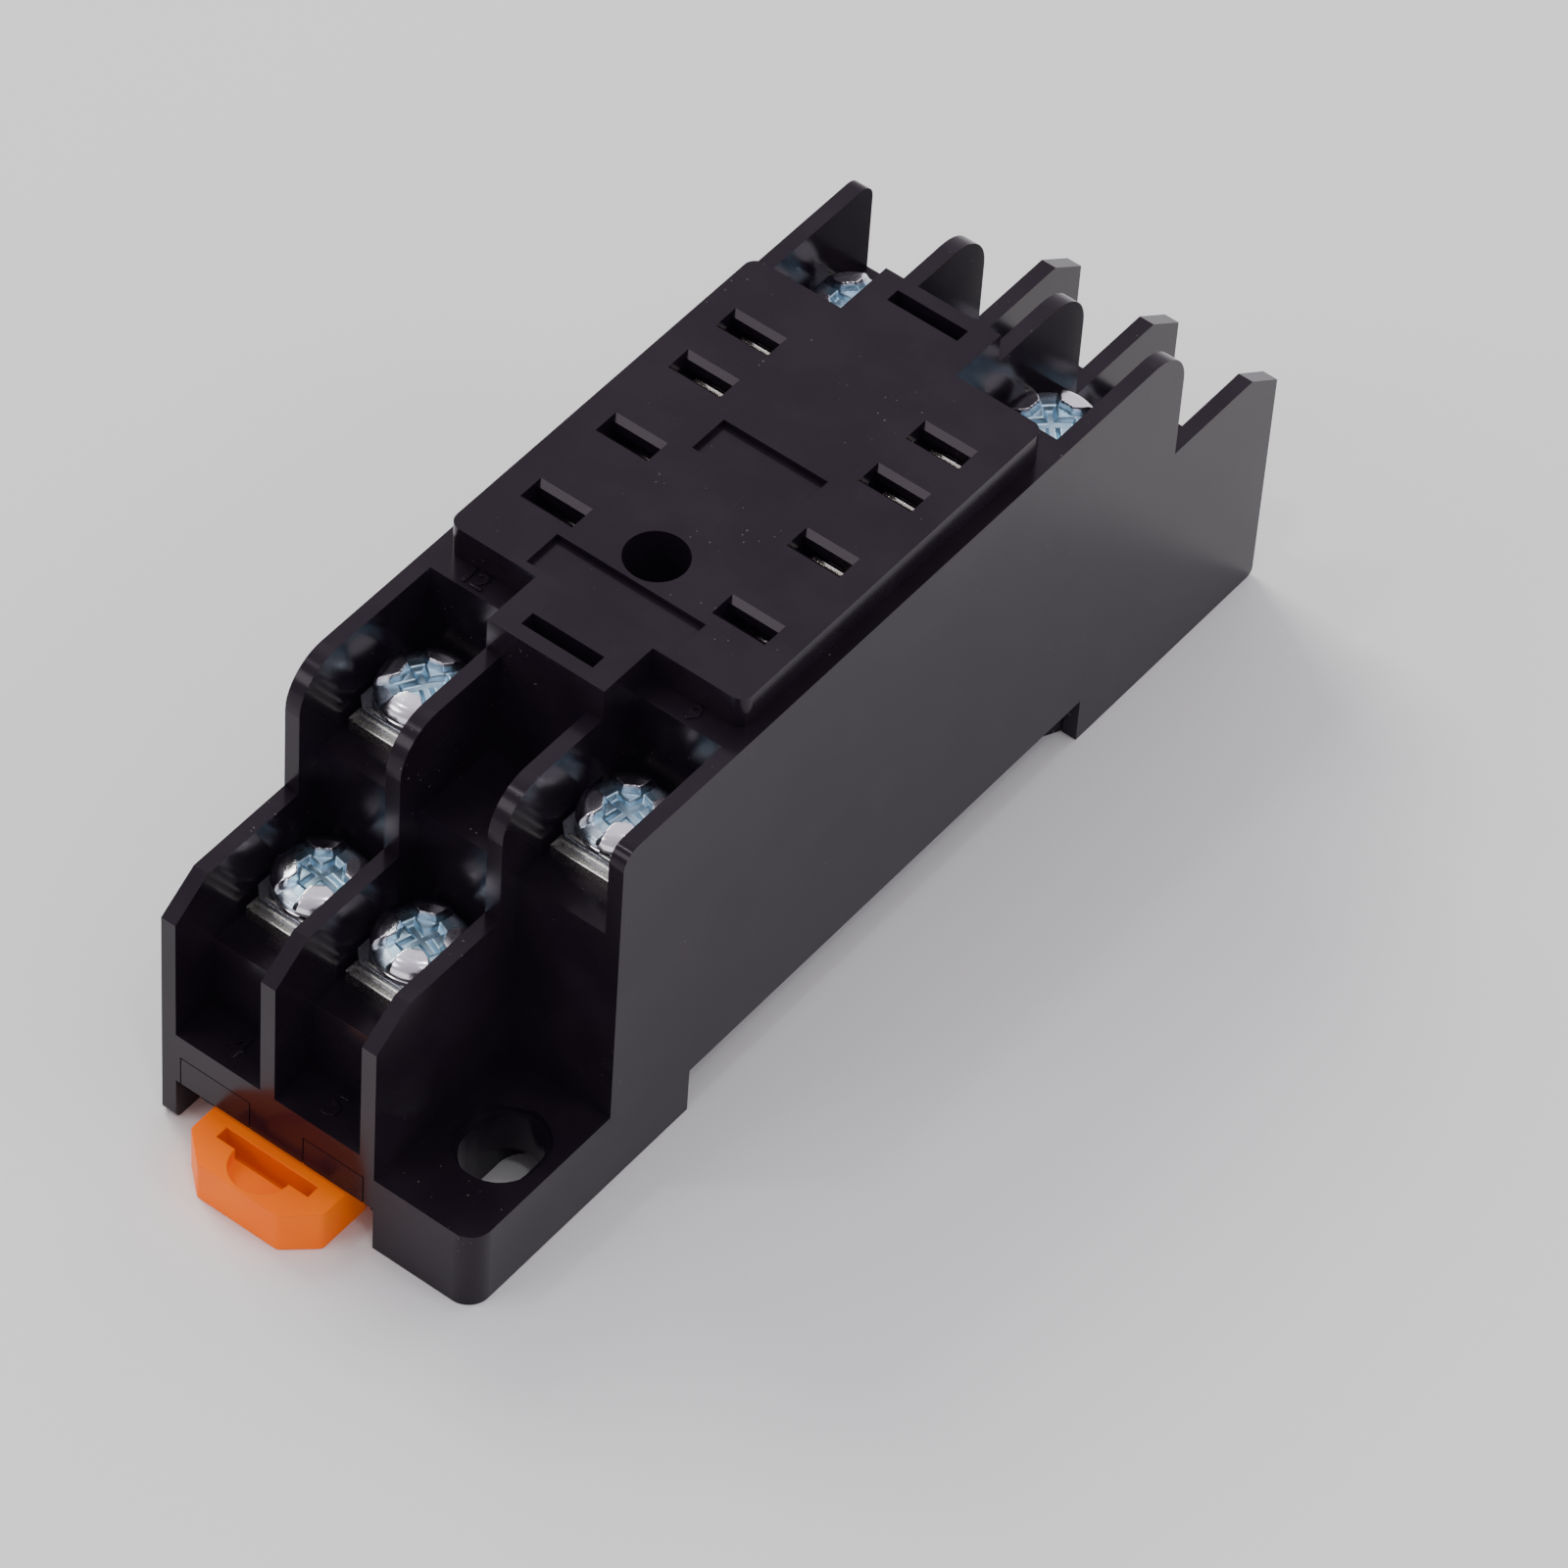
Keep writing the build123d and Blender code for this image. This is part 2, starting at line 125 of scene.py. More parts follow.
class Graph:
    """The node tree of one material or world."""

    # A Mix node has its names A, B and Result once for each type, so its colour sockets go by number
    MIX_FIRST = 6
    MIX_SECOND = 7
    MIX_COLOUR = 2
    BEVEL_SAMPLES = 10

    def __init__(self, owner: bpy.types.Material | bpy.types.World) -> None:
        """Empties the owner's node tree."""
        self.owner = owner
        owner.use_nodes = True
        self.tree = owner.node_tree
        self.tree.nodes.clear()

    @classmethod
    def of_material(cls, name: str) -> "Graph":
        """Makes an empty material of the given name."""
        return cls(bpy.data.materials.new(name))

    def add(self, kind: str, settings: dict | None = None, inputs: dict | None = None,
            output: int | str | None = 0) -> Signal | None:
        """Adds a node.

        Args:
            kind: Type name of the node.
            settings: Its own settings, set before its sockets.
            inputs: Value or Signal of each input socket, by name or number.
            output: Name or number of the output that is returned, or None for none.

        Returns:
            The chosen output, or None.
        """
        node = self.tree.nodes.new(kind)
        for key, value in (settings or {}).items():
            setattr(node, key, value)
        for key, value in (inputs or {}).items():
            if isinstance(value, Signal):
                self.tree.links.new(value.socket, node.inputs[key])
            else:
                node.inputs[key].default_value = value
        return None if output is None else Signal(self, node.outputs[output])

    def place(self) -> Signal:
        """Object coordinates, which are the CAD frame's metres on every piece."""
        return self.add("ShaderNodeTexCoord", output="Object")

    def band(self, axis: str, low_mm: float, high_mm: float, soft_mm: float = 0.06) -> Signal:
        """Is 1 between two places along an axis, and falls to 0 just outside them.

        Args:
            axis: X, Y or Z.
            low_mm: Lower place in millimetres.
            high_mm: Upper place in millimetres.
            soft_mm: Width of the fall on both sides.

        Returns:
            The mask.
        """
        where = self.add("ShaderNodeSeparateXYZ", {}, {"Vector": self.place()}, output=axis)
        rise = where.ramp((low_mm - soft_mm) * MM, low_mm * MM)
        return rise * where.ramp((high_mm + soft_mm) * MM, high_mm * MM)

    def noise(self, size_mm: float, detail: float = 2.0, stretch: Place = (1, 1, 1)) -> Signal:
        """Soft noise whose blobs are about the given size.

        Args:
            size_mm: Size of a blob in millimetres.
            detail: Octaves of finer noise.
            stretch: How much longer a blob is along X, Y and Z.

        Returns:
            A signal round 0.5.
        """
        scale = tuple(1.0 / s for s in stretch)
        where = self.add("ShaderNodeMapping", {"vector_type": "POINT"},
                         {"Vector": self.place(), "Scale": scale})
        return self.add("ShaderNodeTexNoise", {},
                        {"Vector": where, "Scale": 1.0 / (size_mm * MM), "Detail": detail})

    def mix(self, factor: Signal | float, first: object, second: object) -> Signal:
        """Colour between two colours; factor 0 gives the first."""
        return self.add("ShaderNodeMix", {"data_type": "RGBA"},
                        {"Factor": factor, self.MIX_FIRST: first, self.MIX_SECOND: second},
                        output=self.MIX_COLOUR)

    def bump(self, height: Signal, strength: float, depth_mm: float, rounding_mm: float = 0.0) -> Signal:
        """Surface normal of a height signal.

        Args:
            height: Height from 0 to 1.
            strength: Share of the bump that is used.
            depth_mm: Height of 1 in millimetres.
            rounding_mm: Radius with which sharp edges catch the light.

        Returns:
            The normal.
        """
        inputs = {"Height": height, "Strength": strength, "Distance": depth_mm * MM}
        if rounding_mm:
            inputs["Normal"] = self.add("ShaderNodeBevel", {"samples": self.BEVEL_SAMPLES},
                                        {"Radius": rounding_mm * MM})
        return self.add("ShaderNodeBump", {}, inputs)

    def finish(self, **inputs: object) -> bpy.types.Material:
        """Ends the tree in one Principled shader.

        Args:
            **inputs: Value or Signal of each socket, with _ for a space in its name.

        Returns:
            The finished material.
        """
        named = {key.replace("_", " "): value for key, value in inputs.items()}
        shader = self.add("ShaderNodeBsdfPrincipled", {}, named)
        self.add("ShaderNodeOutputMaterial", {}, {"Surface": shader}, output=None)
        return self.owner


# Finishes
@dataclass(frozen=True)
class MouldedBlack:
    """Black moulded plastic: soft reflection, faint flow marks, sparse dust and a few scuffs."""

    name: str = "moulded_black"
    colour: Colour = (0.0080, 0.0055, 0.0088, 1)
    pale: Colour = (0.0120, 0.0086, 0.0128, 1)
    dust: Colour = (0.10, 0.09, 0.088, 1)
    sheen_tint: Colour = (1.0, 0.88, 1.0, 1)
    # painted light: a faint glow over the whole plastic that lifts its blacks
    painted_lift: Colour = (0.0013, 0.0009, 0.0018, 1)
    gloss: float = 0.18
    index: float = 1.31

    def build(self) -> bpy.types.Material:
        """Makes the material.

        Returns:
            Black plastic whose roughness wanders a little over centimetres, with specks of
            dust. Its emission is painted light: a faint even glow that keeps the deepest places from pure
                black.
        """
        g = Graph.of_material(self.name)
        flow = g.noise(9.0, 3.0, (1.0, 2.5, 1.0))
        grain = g.noise(0.16, 1.0)
        cloud = g.noise(4.5, 5.0).ramp(0.38, 0.68)
        speck = g.noise(0.20, 0.0).ramp(0.815, 0.845) * g.noise(6.0, 1.0).ramp(0.50, 0.66)
        scuff = g.noise(1.6, 4.0, (0.25, 3.0, 1.0)).ramp(0.70, 0.78) * g.noise(14.0, 0.0).ramp(0.55, 0.68)
        worn = speck + scuff * 0.12
        colour = g.mix(worn, g.mix(cloud, self.colour, self.pale), self.dust)
        rough = flow * 0.08 + grain * 0.03 + worn * 0.3 + (self.gloss - 0.05)
        return g.finish(Base_Color=colour, Roughness=rough, IOR=self.index, Specular_Tint=self.sheen_tint,
                        Emission_Color=self.painted_lift, Emission_Strength=1.0,
                        Normal=g.bump(grain * 0.3 + flow * 0.7, 0.05, 0.02))


@dataclass(frozen=True)
class MouldedOrange:
    """Orange moulded plastic with a bright pigment and a faint painted glow."""

    name: str = "moulded_orange"
    colour: Colour = (0.96, 0.145, 0.001, 1)
    pale: Colour = (1.0, 0.18, 0.002, 1)
    # painted shade: orange used down in the screwdriver slot
    painted_slot_shade: Colour = (0.76, 0.115, 0.001, 1)
    # painted light: the orange plastic glows though it is no lamp
    painted_glow: Colour = (0.16, 0.030, 0.0, 1)
    # painted shade on the painted glow down in the screwdriver slot
    painted_shaded_glow: Colour = (0.06, 0.014, 0.0, 1)
    slot: tuple[tuple[str, float, float], ...] = (
        ("X", -5.95, 0.55), ("Y", -37.35, -36.45), ("Z", 0.85, 2.78))
    index: float = 1.16

    def build(self) -> bpy.types.Material:
        """Makes the material.

        Returns:
            Orange plastic, a little paler in broad soft patches, with a fine grain. It has a
            painted glow, and painted shade darkens its colour and glow down in the screwdriver slot,
            which reaches as far along each axis as slot says in millimetres.
        """
        g = Graph.of_material(self.name)
        patch = g.noise(4.0, 2.0)
        grain = g.noise(0.18, 1.0)
        # painted shade: mask of the screwdriver slot, where colour and glow are darkened
        across, along, down = (g.band(*reach) for reach in self.slot)
        slot = across * along * down
        orange = g.mix(patch.ramp(0.35, 0.75), self.colour, self.pale)
        return g.finish(Base_Color=g.mix(slot, orange, self.painted_slot_shade), Roughness=grain * 0.10 + 0.36,
                        IOR=self.index,
                        Emission_Color=g.mix(slot, self.painted_glow, self.painted_shaded_glow), Emission_Strength=1.0,
                        Normal=g.bump(grain, 0.06, 0.02, 0.10))


@dataclass(frozen=True)
class BlueZinc:
    """Bright zinc with a blue passivation that is deepest in the drive recess."""

    name: str = "blue_zinc"
    bright: Colour = (0.86, 0.84, 0.90, 1)
    blue: Colour = (0.44, 0.66, 0.81, 1)

    def build(self) -> bpy.types.Material:
        """Makes the material.

        Returns:
            Metal mixed by the piece's recess attribute, with small dents and drawn marks.
        """
        g = Graph.of_material(self.name)
        deep = g.add("ShaderNodeAttribute", {"attribute_name": "recess"}, output="Fac")
        cloud = g.noise(1.3, 2.0)
        dents = g.noise(0.55, 2.0)
        tint = deep * 0.92 + cloud.ramp(0.45, 0.75) * 0.08
        return g.finish(Base_Color=g.mix(tint, self.bright, self.blue), Metallic=1.0,
                        Roughness=dents * 0.12 + deep * 0.12 + 0.14, Normal=g.bump(dents, 0.32, 0.05))


class Grain(Enum):
    """Direction that a sheet was drawn in, as the stretch of its marks along X, Y and Z."""

    ALONG_X = (6.0, 1.0, 1.0)
    ALONG_Y = (1.0, 6.0, 1.0)
    ALONG_Z = (1.0, 1.0, 6.0)


@dataclass(frozen=True)
class DrawnMetal:
    """Stamped sheet metal with drawing lines along one axis."""

    name: str
    colour: Colour
    stain: Colour
    rough: float
    grain: Grain
    edge_mm: float = 0.05
    relief: float = 0.20

    def build(self) -> bpy.types.Material:
        """Makes the material.

        Returns:
            Metal with fine lines along the grain and faint stains.
        """
        g = Graph.of_material(self.name)
        lines = g.noise(0.10, 2.0, self.grain.value)
        stain = g.noise(2.2, 3.0).ramp(0.45, 0.80)
        return g.finish(Base_Color=g.mix(stain * 0.6, self.colour, self.stain), Metallic=1.0,
                        Roughness=lines * 0.16 + stain * 0.08 + self.rough,
                        Normal=g.bump(lines, self.relief, 0.012, self.edge_mm))


@dataclass(frozen=True)
class PaleFloor:
    """Seamless pale backdrop with a trace of unevenness."""

    name: str = "pale_floor"
    colour: Colour = (0.86, 0.86, 0.865, 1)
    pale: Colour = (0.88, 0.88, 0.88, 1)

    def build(self) -> bpy.types.Material:
        """Makes the material.

        Returns:
            Matt off-white.
        """
        g = Graph.of_material(self.name)
        cloud = g.noise(60.0, 2.0)
        return g.finish(Base_Color=g.mix(cloud, self.colour, self.pale), Roughness=0.9)


# Surfaces
@dataclass
class Surface:
    """A mesh held as arrays: points (n, 3) in millimetres, quads (m, 4) and a value per point.

    Points closer than merge_m metres become one, and edges under sliver_m go.
    """

    points: np.ndarray
    quads: np.ndarray
    values: np.ndarray
    merge_m: ClassVar[float] = 1e-7
    sliver_m: ClassVar[float] = 1e-8

    @staticmethod
    def grid(points: np.ndarray, values: np.ndarray | None = None) -> "Surface":
        """Joins a grid of points, whose columns close on themselves, into quads.

        Point (i, j) is joined to (i + 1, j), (i + 1, j + 1) and (i, j + 1), where j + 1
        goes back to 0 after the last column.

        Args:
            points: Array (rows, columns, 3) in millimetres.
            values: Optional array (rows, columns) of the recess attribute.

        Returns:
            The surface.
        """
        rows, cols = points.shape[:2]
        index = np.arange(rows * cols).reshape(rows, cols)
        near, far = index[:-1], index[1:]
        quads = np.stack([near, far, np.roll(far, -1, 1), np.roll(near, -1, 1)], -1)
        flat = np.zeros(rows * cols) if values is None else values.reshape(-1)
        return Surface(points.reshape(-1, 3), quads.reshape(-1, 4), flat)

    @staticmethod
    def joined(parts: list["Surface"]) -> "Surface":
        """Puts several surfaces into one, without sharing points."""
        starts = np.cumsum([0] + [len(p.points) for p in parts[:-1]])
        return Surface(np.concatenate([p.points for p in parts]),
                       np.concatenate([p.quads + s for p, s in zip(parts, starts)]),
                       np.concatenate([p.values for p in parts]))

    def moved(self, x: float, y: float, z: float, turn: float = 0.0) -> "Surface":
        """Turns the surface about Z, then moves it.

        Args:
            x: Millimetres along X.
            y: Millimetres along Y.
            z: Millimetres along Z.
            turn: Angle in radians, from X towards Y.

        Returns:
            The turned and moved copy.
        """
        c, s = math.cos(turn), math.sin(turn)
        spun = self.points @ np.array([[c, s, 0], [-s, c, 0], [0, 0, 1]])
        return Surface(spun + np.array([x, y, z]), self.quads, self.values)

    def piece(self, name: str, material: bpy.types.Material, smooth: float = 40.0) -> bpy.types.Object:
        """Makes the closed Blender object, in metres, with its place in its mesh.

        Args:
            name: Name of the object.
            material: Its finish.
            smooth: Edges that turn by less than this many degrees are shaded smooth.

        Returns:
            The object, with doubled points merged and faces pointing outwards.
        """
        mesh = bpy.data.meshes.new(name)
        mesh.from_pydata((self.points * MM).tolist(), [], self.quads.tolist())
        recess = mesh.attributes.new("recess", "FLOAT", "POINT")
        recess.data.foreach_set("value", self.values.astype(np.float32))
        cleaner = bmesh.new()
        cleaner.from_mesh(mesh)
        bmesh.ops.remove_doubles(cleaner, verts=cleaner.verts, dist=self.merge_m)
        bmesh.ops.dissolve_degenerate(cleaner, edges=cleaner.edges, dist=self.sliver_m)
        bmesh.ops.recalc_face_normals(cleaner, faces=cleaner.faces)
        cleaner.to_mesh(mesh)
        cleaner.free()
        mesh.shade_smooth()
        mesh.set_sharp_from_angle(angle=math.radians(smooth))
        mesh.materials.append(material)
        thing = bpy.data.objects.new(name, mesh)
        bpy.context.scene.collection.objects.link(thing)
        return thing


def smoothstep(low: float, high: float, value: np.ndarray) -> np.ndarray:
    """Goes from 0 at low to 1 at high along 3t^2 - 2t^3, where t is the share of the way."""
    t = np.clip((value - low) / (high - low), 0.0, 1.0)
    return t * t * (3.0 - 2.0 * t)


# Fasteners
@dataclass
class TerminalScrew:
    """Pan-head terminal screw with a spring washer under its head, in millimetres from its seat."""

    radius: float = 2.78
    crown: float = 1.88
    dome: float = 0.40
    rim_round: float = 0.95
    rim_drop: float = 0.82
    head_bottom: float = 0.56
    slot_half: float = 0.60
    arm_half: float = 0.56
    arm_reach: float = 2.15
    star: float = 1.80
    recess_depth: float = 0.56
    cross_half: float = 0.36
    cross_reach: float = 1.35
    cross_depth: float = 0.34
    recess_wall: tuple[float, float] = (0.08, -0.14)
    cross_wall: tuple[float, float] = (0.10, -0.22)
    edge_tint: float = 0.6
    shank: float = 1.74
    root: float = 1.42
    pitch: float = 0.6
    shank_length: float = 6.95
    point: float = 0.5
    neck: float = 0.3
    overlap: float = 0.02
    flank: float = 1.5
    flat: float = 0.2
    spring_inner: float = 1.86
    spring_outer: float = 2.72
    spring_cut: float = 0.10
    spring_play: float = 0.02
    spring_gap_deg: float = 7.0
    spring_turn: float = 1.7
    head_columns: int = 240
    head_rows: int = 40
    row_crowding: float = 0.85
    round_rows: int = 8
    side_rows: int = 3
    under_edge: float = 0.08
    thread_columns: int = 36
    thread_rows_per_turn: int = 6
    spring_steps: int = 72

    def recess_distance(self, x: np.ndarray, y: np.ndarray) -> np.ndarray:
        """Distance from the recess's outline, negative inside it.

        The recess is a slot along X through the whole head, an arm along Y that stops
        at arm_reach, and a diamond round the middle, whichever is nearest.

        Args:
            x: Places along the slot.
            y: Places across the slot.

        Returns:
            The smallest of |y| - slot_half, the arm's and the diamond's distance.
        """
        slot = np.abs(y) - self.slot_half
        arm = np.maximum(np.abs(x) - self.arm_half, np.abs(y) - self.arm_reach)
        diamond = (np.abs(x) + np.abs(y) - self.star) / math.sqrt(2)
        return np.minimum(np.minimum(slot, arm), diamond)

    def head(self, turn: float) -> Surface:
        """Head as a height over a disc.

        At radius r the height is crown - dome * (r / radius)^2, less recess_depth inside
        the recess, where the wall is a smooth step about 0.2 mm wide, and less cross_depth in
        the narrower cross at its bottom. The outer rows round the shoulder as a quarter
        of an ellipse, which is flatter where the slot runs out, and go down the side.

        Args:
            turn: Angle of the slot in radians.

        Returns:
            The closed head, without its shank.
        """
        angle = np.linspace(0, FULL_TURN, self.head_columns, endpoint=False)
        share = np.linspace(0.0, 1.0, self.head_rows) ** self.row_crowding
        reach = share * (self.radius - self.rim_round)
        r, a = np.meshgrid(reach, angle, indexing="ij")
        x, y = r * np.cos(a), r * np.sin(a)
        depth = smoothstep(*self.recess_wall, self.recess_distance(x, y))
        low_x = np.maximum(np.abs(x) - self.cross_reach, np.abs(y) - self.cross_half)
        low_y = np.maximum(np.abs(y) - self.cross_reach, np.abs(x) - self.cross_half)
        cross = smoothstep(*self.cross_wall, np.minimum(low_x, low_y))
        top = self.crown - self.dome * (r / self.radius) ** 2
        z = top - depth * (self.recess_depth + cross * self.cross_depth)
        edge_z, edge_depth = z[-1], depth[-1]
        arc = np.linspace(0, math.pi / 2, self.round_rows + 1)[1:, None]
        round_r = self.radius - self.rim_round * (1 - np.sin(arc)) + 0 * edge_z
        drop = np.minimum(self.rim_drop, edge_z - self.head_bottom - 2 * self.under_edge)
        round_z = edge_z - drop * (1 - np.cos(arc))
        side_z = np.linspace(0.0, 1.0, self.side_rows + 1)[1:, None]
        side_z = round_z[-1] * (1 - side_z) + (self.head_bottom + self.under_edge) * side_z
        under_r = np.array([self.radius - self.under_edge, self.spring_inner, self.shank, 0.0])
        under_r = under_r[:, None] + 0 * edge_z
        under_z = self.head_bottom + 0 * under_r
        rows_r = np.concatenate([r, round_r, self.radius + 0 * side_z, under_r])
        rows_z = np.concatenate([z, round_z, side_z, under_z])
        rows_a = np.broadcast_to(angle, rows_r.shape)
        edge_depth = edge_depth[None] * self.edge_tint
        value = np.concatenate([depth, np.repeat(edge_depth, len(rows_r) - len(r), 0)])
        grid = np.stack([rows_r * np.cos(rows_a), rows_r * np.sin(rows_a), rows_z], -1)
        return Surface.grid(grid, values=value).moved(0, 0, 0, turn)

    def thread(self) -> Surface:
        """Threaded shank down from the head.

        The radius at height z and angle a is root plus the thread's height times a
        triangle wave of z / pitch - a / (2 pi), cut off at root and crest. It is root
        under the head and narrows to the point at the tip.

        Returns:
            The closed shank.
        """
        angle = np.linspace(0, FULL_TURN, self.thread_columns, endpoint=False)
        steps = int(self.shank_length / self.pitch * self.thread_rows_per_turn)
        z = np.linspace(self.head_bottom + self.overlap, -self.shank_length, steps)
        zz, a = np.meshgrid(z, angle, indexing="ij")
        phase = (zz / self.pitch - a / FULL_TURN) % 1.0
        wave = 1 - np.abs(2 * phase - 1)
        height = np.clip(wave * self.flank - self.flat, 0, 1)
        r = self.root + (self.shank - self.root) * height
        plain = smoothstep(-self.neck, 0.0, zz)
        r = r * (1 - plain) + self.root * plain
        r = np.minimum(r, self.shank - self.point + (zz + self.shank_length))
        r = np.concatenate([0 * r[:1], r, 0 * r[:1]])
        zz = np.concatenate([zz[:1], zz, zz[-1:]])
        a = np.broadcast_to(angle, r.shape)
        return Surface.grid(np.stack([r * np.cos(a), r * np.sin(a), zz], -1))

    def spring_washer(self, start: float) -> Surface:
        """Split ring under the head.

        A rectangle with cut corners is carried round a circle of the mean radius. It
        stops short of a full turn, and each end closes to the middle of its section.

        Args:
            start: Angle of the split in radians.

        Returns:
            The closed ring.
        """
        gap = math.radians(self.spring_gap_deg)
        along = np.linspace(gap, FULL_TURN - gap, self.spring_steps)
        along = np.concatenate([along[:1], along, along[-1:]])
        mean = (self.spring_inner + self.spring_outer) / 2
        half, cut = (self.spring_outer - self.spring_inner) / 2, self.spring_cut
        low, high = self.spring_play, self.head_bottom - self.spring_play
        offset = np.array([-half, -half + cut, half - cut, half, half, half - cut, -half + cut, -half])
        height = np.array([high - cut, high, high, high - cut, low + cut, low, low, low + cut])
        r = mean + np.repeat(offset[None], len(along), 0)
        z = np.repeat(height[None], len(along), 0)
        r[0] = r[-1] = mean
        z[0] = z[-1] = (low + high) / 2
        a = along[:, None] + start
        return Surface.grid(np.stack([r * np.cos(a), r * np.sin(a), z], -1))

    def surface(self, turn: float) -> Surface:
        """Head, shank and spring washer together, for a slot at the given angle."""
        spring = self.spring_washer(turn * self.spring_turn)
        return Surface.joined([self.head(turn), self.thread(), spring])


@dataclass(frozen=True)
class Ridge:
    """One ridge along X: its place from the top of the clamp washer, half length and radius."""

    y: float
    z: float
    half_length: float
    radius: float
    columns: int = 20

    def surface(self) -> Surface:
        """A bar whose section is a circle, y = r cos t, z = r sin t, tapered at both ends.

        Returns:
            The closed bar.
        """
        t = np.linspace(0, FULL_TURN, self.columns, endpoint=False)
        share = np.array([0.0, 0.7, 1.0, 1.0, 0.7, 0.0])[:, None] * self.radius
        x = np.array([-1.0, -0.97, -0.9, 0.9, 0.97, 1.0])[:, None] * self.half_length + 0 * t
        return Surface.grid(np.stack([x, self.y + share * np.cos(t), self.z + share * np.sin(t)], -1))


@dataclass(frozen=True)
class ClampRibs:
    """Pressed ridges on the front of a square clamp washer."""

    ridges: tuple[Ridge, ...] = (Ridge(-2.44, -0.01, 2.05, 0.11), Ridge(-2.69, -0.46, 2.58, 0.10))

    def surface(self) -> Surface:
        """All the ridges together."""
        return Surface.joined([ridge.surface() for ridge in self.ridges])


@dataclass(frozen=True)
class PlateEdge:
    """Rolled front edge of a terminal plate."""

    ridge: Ridge = Ridge(-3.06, -0.86, 2.62, 0.10)

    def surface(self) -> Surface:
        """The one ridge along the front of the plate."""
        return self.ridge.surface()


@dataclass(frozen=True)
class ContactLip:
    """Lip of a contact's far leaf, with its edge cut off so that it shows through the slot."""

    half_length: float = 1.28
    leaf: float = 0.4
    section: tuple[tuple[float, float], ...] = (
        (0.19, -0.05), (0.19, 0.09), (0.08, 0.13), (-0.02, 0.11), (-0.10, 0.055), (-0.18, -0.01),
        (-0.19, -0.05))

    def surface(self) -> Surface:
        """The section, as points (y, z), carried along X and tapered at both ends.

        Returns:
            The closed lip, with its place at the top of the leaf.
        """
        y, z = np.array(self.section).T
        share = np.array([0.0, 0.8, 1.0, 1.0, 0.8, 0.0])[:, None]
        x = np.array([-1.0, -0.98, -0.93, 0.93, 0.98, 1.0])[:, None] * self.half_length + 0 * y
        return Surface.grid(np.stack([x, share * y, share * z], -1))

    def build(self, number: int, material: bpy.types.Material) -> None:
        """Builds the lip of one contact.

        Args:
            number: Number of the contact.
            material: Its finish.
        """
        low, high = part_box(f"contact_clip_{number}")
        x, y, z = (low.x + high.x) / 2 / MM, high.y / MM - self.leaf / 2, high.z / MM
        lip = self.surface().moved(x, y, z).piece(f"contact_lip_{number}", material, smooth=30)
        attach(lip, "socket")


class Side(Enum):
    """End of the socket that a terminal opens to, as the turn of its front about Z."""

    NEAR = 0.0
    FAR = math.pi


class Terminals:
    """Dresses the eight screws, clamp washers and terminal plates."""

    ANGLE_STEP = 37
    ANGLE_START = 18
    HALF_TURN_DEG = 180

    def __init__(self, zinc: bpy.types.Material, washer: bpy.types.Material,
                 plate: bpy.types.Material) -> None:
        """Keeps the three finishes and makes the patterns of the small pieces.

        Args:
            zinc: Finish of the screws.
            washer: Finish of the clamp washers.
            plate: Finish of the terminal plates and of all ridges.
        """
        self.zinc = zinc
        self.washer = washer
        self.plate = plate
        self.screw = TerminalScrew()
        self.ribs = ClampRibs()
        self.edge = PlateEdge()

    def slot_angle(self, number: int) -> float:
        """Angle of a screw's slot in radians, scattered by the square of the terminal's number."""
        return math.radians((self.ANGLE_STEP * number * number + self.ANGLE_START) % self.HALF_TURN_DEG)

    def build(self) -> None:
        """Builds each terminal's screw and ribs, and dresses its plate and washer."""
        for number in TERMINALS:
            low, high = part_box(f"clamp_washer_{number}")
            middle = (low + high) / 2 / MM
            seat = high.z / MM
            body = self.screw.surface(self.slot_angle(number)).moved(middle.x, middle.y, seat)
            screw = body.piece(f"screw_{number}", self.zinc, smooth=35)
            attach(screw, f"screw_{number}")
            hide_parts(f"terminal_screw_{number}")
            side = Side.FAR if middle.y > 0 else Side.NEAR
            place = (middle.x, middle.y, seat)
            ribs = self.ribs.surface().moved(0, 0, 0, side.value).moved(*place)
            ribs = ribs.piece(f"clamp_ribs_{number}", self.plate, smooth=60)
            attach(ribs, f"clamp_{number}")
            edge = self.edge.surface().moved(0, 0, 0, side.value).moved(*place)
            edge = edge.piece(f"plate_edge_{number}", self.plate, smooth=60)
            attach(edge, "socket")
            dress(f"clamp_washer_{number}", self.washer)
            dress(f"terminal_plate_{number}", self.plate)
        log.info("screws: %d", len(TERMINALS))


def dress(node: str, material: bpy.types.Material) -> None:
    """Gives a CAD node a finish through its material slots.

    Args:
        node: Name of the node.
        material: Its finish.
    """
    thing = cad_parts[node]
    if not thing.material_slots:
        raise ValueError(f"{node} has no material slot")
    for place in thing.material_slots:
        place.link = "OBJECT"
        place.material = material


# Terminal numbers
@dataclass(frozen=True)
class Mark:
    """One raised terminal number: its text, middle in millimetres, and cap height."""

    text: str
    x: float
    y: float
    z: float
    height: float


